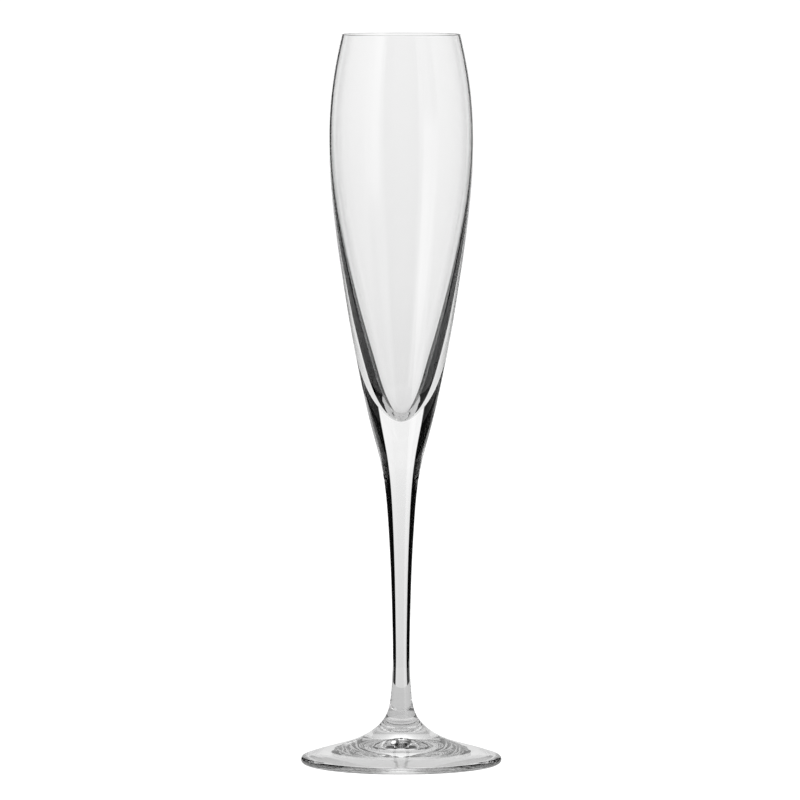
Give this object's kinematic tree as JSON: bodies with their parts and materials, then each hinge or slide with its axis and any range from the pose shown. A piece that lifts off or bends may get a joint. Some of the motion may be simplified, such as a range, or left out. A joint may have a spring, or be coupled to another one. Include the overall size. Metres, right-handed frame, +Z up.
{
  "type": "champagne flute",
  "caption": "Tall stemmed drinking glass with a slender tapered bowl narrowing at the lip, a solid drawn stem and a round foot to stand on.",
  "frame": {"origin": "centre of the foot's underside, in the plane that the glass stands on", "axes": "+Z up along the axis of revolution, from the foot to the lip; X and Y are free because the glass is round"},
  "size_m": [0.069, 0.069, 0.25],
  "materials": {
    "bowl_glass": "clear, fire-polished",
    "stem_glass": "clear, fire-polished",
    "foot_glass": "clear, fire-polished, faint spinning rings"
  },
  "bodies": {
    "root": {"bowl": "bowl_glass", "stem": "stem_glass", "foot": "foot_glass"}
  },
  "joints": []
}
